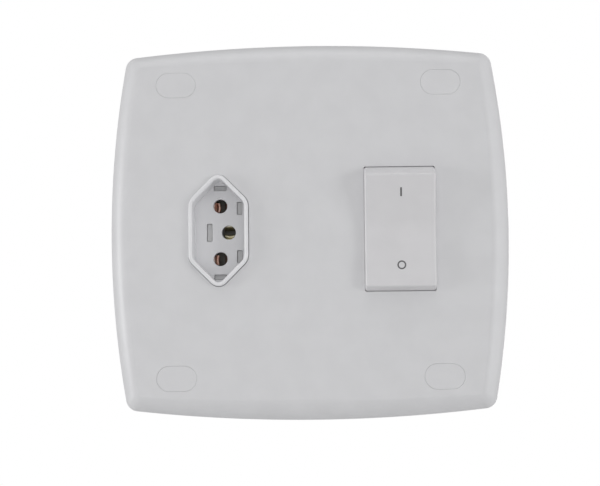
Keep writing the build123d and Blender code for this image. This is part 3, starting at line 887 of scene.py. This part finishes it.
def two_tone(tree, place, size_mm, light, dark):
    """A colour that drifts between two tones in patches of about the given size."""
    noise = add_node(
        tree, "ShaderNodeTexNoise", [("Vector", place)], Scale=1 / (size_mm * MM), Detail=patch_detail
    )
    ramp = add_node(tree, "ShaderNodeValToRGB", [("Fac", noise.outputs["Fac"])])
    ramp.color_ramp.elements[0].position = patch_dark_end
    ramp.color_ramp.elements[1].position = patch_light_end
    ramp.color_ramp.elements[0].color = linear(dark)
    ramp.color_ramp.elements[1].color = linear(light)
    return ramp.outputs["Color"]


def grain_bump(tree, shader, place, size_mm, height_mm, strength):
    """A fine grain that roughens the surface."""
    noise = add_node(
        tree, "ShaderNodeTexNoise", [("Vector", place)], Scale=1 / (size_mm * MM), Detail=grain_detail
    )
    bump = add_node(
        tree, "ShaderNodeBump", [("Height", noise.outputs["Fac"])],
        Strength=strength, Distance=height_mm * MM,
    )
    tree.links.new(shader.inputs["Normal"], bump.outputs["Normal"])


def moulded_plastic(name, light, dark, roughness, grain_mm, ior=plastic_ior):
    """Injection-moulded plastic: an even body colour with a soft sheen and the mould's fine grain."""
    material, tree, shader, place = new_material(name)
    tree.links.new(shader.inputs["Base Color"], two_tone(tree, place, plastic_patch, light, dark))
    shader.inputs["Roughness"].default_value = roughness
    shader.inputs["IOR"].default_value = ior
    grain_bump(tree, shader, place, grain_mm, plastic_grain_height, plastic_grain_strength)
    return material


def stamped_metal(name, light, dark, roughness, patch_mm, stretch=(1, 1, 1)):
    """Metal sheet or wire: tarnish in patches and fine marks of the tool, drawn out along one way."""
    material, tree, shader, place = new_material(name)
    mapping = add_node(tree, "ShaderNodeMapping", [("Vector", place)])
    mapping.inputs["Scale"].default_value = stretch
    drawn = mapping.outputs["Vector"]
    tree.links.new(shader.inputs["Base Color"], two_tone(tree, drawn, patch_mm, light, dark))
    shader.inputs["Metallic"].default_value = 1.0
    shader.inputs["Roughness"].default_value = roughness
    grain_bump(tree, shader, drawn, tool_mark_size, tool_mark_height, tool_mark_strength)
    return material


def contact_metal_with_painted_shade(name, light, dark, roughness):
    """Contact sheet, bright in front, turned grey and non-metallic towards the back by painted shade for
    the dim depth of the holes.
    """
    material = stamped_metal(name, light, dark, roughness, sheet_patch, drawn_sheet)
    tree = material.node_tree
    shader = tree.nodes["Principled BSDF"]
    place = add_node(tree, "ShaderNodeTexCoord").outputs["Object"]
    depth = add_node(tree, "ShaderNodeSeparateXYZ", [("Vector", place)]).outputs["Y"]
    # Painted shade: between the two depths the sheet turns to a grey, non-metallic tone for the dim back of
    # the hole
    painted_shade_share = add_node(tree, "ShaderNodeMapRange", [("Value", depth)])
    painted_shade_share.inputs["From Min"].default_value = painted_shade_start_y * MM
    painted_shade_share.inputs["From Max"].default_value = painted_shade_full_y * MM
    # A mix node's two colours are its inputs 6 and 7, and its mixed colour is output 2
    blend = add_node(tree, "ShaderNodeMix", [("Factor", painted_shade_share.outputs["Result"])], data_type="RGBA")
    tree.links.new(blend.inputs[6], shader.inputs["Base Color"].links[0].from_socket)
    blend.inputs[7].default_value = linear(painted_shade_tone)
    tree.links.new(shader.inputs["Base Color"], blend.outputs[2])
    unshaded_share = add_node(tree, "ShaderNodeMath", [(1, painted_shade_share.outputs["Result"])], operation="SUBTRACT")
    unshaded_share.inputs[0].default_value = 1.0
    tree.links.new(shader.inputs["Metallic"], unshaded_share.outputs["Value"])
    return material


def make_materials():
    """The materials, each named for the real one; keys are the record's slots and the printed marks."""
    return {
        # Satin white ABS, slightly cool, from a spark-eroded mould: an even, soft highlight
        "white_plate": moulded_plastic("white_abs_satin_moulded", "#DADADC", "#D7D7D9", 0.42, 0.30),
        # The same ABS, a little smoother, painted lighter than the plate to light the shaded recess
        "white_socket": moulded_plastic("white_abs_socket_painted_light", "#E9E9EB", "#E6E6E8", 0.38, 0.25),
        # Rocker in a slightly glossier, more neutral white ABS, touched every day
        "white_rocker": moulded_plastic("white_abs_rocker_moulded", "#DAD9DB", "#D7D6D8", 0.34, 0.25),
        # Glass-filled insulating plastic: dull, light grey, faintly mottled
        "grey_insulator": moulded_plastic("grey_polyamide_glass_filled", "#D4D4D4", "#CBCBCC", 0.55, 0.20),
        # Natural nylon, turned slightly yellow, waxy
        "nylon": moulded_plastic("natural_nylon_moulded", "#E3DFD0", "#D9D4C3", 0.40, 0.20),
        # Stamped brass, dulled to a reddish brown by air and handling
        "brass": stamped_metal(
            "stamped_brass_tarnished", "#C58F62", "#96633F", 0.34, sheet_patch, drawn_sheet
        ),
        # Copper-coloured contacts of the two live pins, in a pale tone that is painted light on their
        # shaded blades, greying towards the back with painted shade
        "live_contact": contact_metal_with_painted_shade("copper_alloy_contact_painted_light_and_shade", "#F6DCD0", "#E6BFAE", 0.45),
        # Paler brass of the earth contact, greying towards the back with painted shade
        "earth_contact": contact_metal_with_painted_shade("pale_brass_contact_painted_shade", "#F4EFD8", "#E6DCB8", 0.42),
        # Silver alloy contact buttons, satin and slightly grey
        "contact_silver": stamped_metal("silver_alloy_contact", "#DCDAD4", "#B9B6AE", 0.28, 0.9),
        # Zinc-plated steel screws and pin, bluish with turning marks
        "zinc_steel": stamped_metal("zinc_plated_turned_steel", "#C3C8CE", "#9CA3AC", 0.32, 0.7),
        # Drawn spring wire, darker, with lengthwise drawing marks
        "spring_steel": stamped_metal(
            "drawn_spring_steel_wire", "#A6A6A6", "#7E7E80", 0.30, 0.3, drawn_wire
        ),
        # Grey pad-printed ink, matt
        "mark_ink": moulded_plastic("grey_pad_printed_ink", "#6C6C6D", "#646465", 0.60, 0.12, ink_ior),
    }


def dress(thing, material):
    """Gives every part of an object one material."""
    thing.data.materials.clear()
    thing.data.materials.append(material)


# Pieces


def build_object(materials):
    """Makes the fine pieces, hides the nodes they stand in for, ties them to their bodies, and dresses
    everything.
    """
    record = frame["record"]
    slots = {part["node"]: part["material_slot"] for part in record["subparts"]}
    replaced = {
        "cover_plate": (make_cover_plate(), "plate"),
        "socket_housing": (make_socket_housing(), "plate"),
        "rocker": (make_rocker(), "rocker"),
    }
    for vertical, z in (("top", screw_half_z), ("bottom", -screw_half_z)):
        for across, x in (("left", -screw_half_x), ("right", screw_half_x)):
            lift = loose_cap_lift if (vertical, across) == ("top", "left") else 0.0
            cap = make_cap(f"blind_cap_{vertical}_{across}", x, z + lift)
            replaced[f"screw_cap_{vertical}_{across}"] = (cap, "plate")
    for node, (piece, body) in replaced.items():
        dress(piece, materials[slots[node]])
        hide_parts(node)
        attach(piece, body)
    for bead, metal in make_pinch_beads():
        dress(bead, materials[metal])
        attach(bead, "plate")
    for mark in (make_on_mark(), make_off_mark()):
        dress(mark, materials["mark_ink"])
        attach(mark, "rocker")
    pin_contacts = {
        "contact_line": "live_contact",
        "contact_neutral": "live_contact",
        "contact_earth": "earth_contact",
    }
    for node, slot in slots.items():
        if node not in replaced:
            dress(bpy.data.objects[node], materials[pin_contacts.get(node, slot)])


# Studio


def add_floor():
    """A plain pale floor, under and behind the object and out of the camera's sight."""
    half = floor_half_width
    mesh = bpy.data.meshes.new("studio_floor")
    corners = [(x, y, -floor_drop) for x, y in ((-half, -half), (half, -half), (half, half), (-half, half))]
    mesh.from_pydata(corners, [], [(0, 1, 2, 3)])
    floor = bpy.data.objects.new("studio_floor", mesh)
    bpy.context.scene.collection.objects.link(floor)
    material, tree, shader, place = new_material("pale_painted_floor")
    tree.links.new(shader.inputs["Base Color"], two_tone(tree, place, floor_patch, "#E6E6E6", "#E2E2E2"))
    shader.inputs["Roughness"].default_value = floor_roughness
    dress(floor, material)


def add_soft_light(name, place, size, watts):
    """A square area light that faces the middle of the object."""
    data = bpy.data.lights.new(name, "AREA")
    data.shape = "SQUARE"
    data.size = size
    data.energy = watts
    light = bpy.data.objects.new(name, data)
    light.location = place
    light.rotation_euler = (-Vector(place)).to_track_quat("-Z", "Y").to_euler()
    bpy.context.scene.collection.objects.link(light)


def add_world(strength):
    """Even white surroundings, pure white where the camera sees them."""
    world = bpy.data.worlds.new("studio_world")
    world.use_nodes = True
    bpy.context.scene.world = world
    tree = world.node_tree
    tree.nodes.clear()
    rays = add_node(tree, "ShaderNodeLightPath")
    fill = add_node(tree, "ShaderNodeBackground", Color=(1, 1, 1, 1), Strength=strength)
    white = add_node(tree, "ShaderNodeBackground", Color=(1, 1, 1, 1), Strength=1.0)
    mix = add_node(
        tree, "ShaderNodeMixShader",
        [
            (0, rays.outputs["Is Camera Ray"]),
            (1, fill.outputs["Background"]),
            (2, white.outputs["Background"]),
        ],
    )
    add_node(tree, "ShaderNodeOutputWorld", [("Surface", mix.outputs["Shader"])])


def add_camera():
    """The camera at the photograph's viewpoint."""
    data = bpy.data.cameras.new("photo_camera")
    data.sensor_fit = "HORIZONTAL"
    data.sensor_width = sensor_width
    data.lens = focal_pixels * sensor_width / photo_width
    data.clip_start = camera_near
    data.clip_end = camera_far
    yaw = radians(camera_yaw)
    pitch = radians(camera_pitch)
    roll = radians(camera_roll)
    forward = Vector((sin(yaw) * cos(pitch), cos(yaw) * cos(pitch), sin(pitch)))
    level = Vector((cos(yaw), -sin(yaw), 0))
    above = level.cross(forward)
    right = level * cos(roll) + above * sin(roll)
    up = above * cos(roll) - level * sin(roll)
    camera = bpy.data.objects.new("photo_camera", data)
    turn = Matrix((right, up, -forward)).transposed().to_4x4()
    camera.matrix_world = Matrix.Translation(Vector(camera_place) * MM) @ turn
    bpy.context.scene.collection.objects.link(camera)
    bpy.context.scene.camera = camera


def make_studio():
    """Floor, surroundings, lamps and camera."""
    add_floor()
    add_world(fill_strength)
    for name, (place, size, watts) in soft_lights.items():
        add_soft_light(name, place, size, watts)
    add_camera()
    bpy.context.scene.view_settings.view_transform = "Standard"


build_object(make_materials())
make_studio()
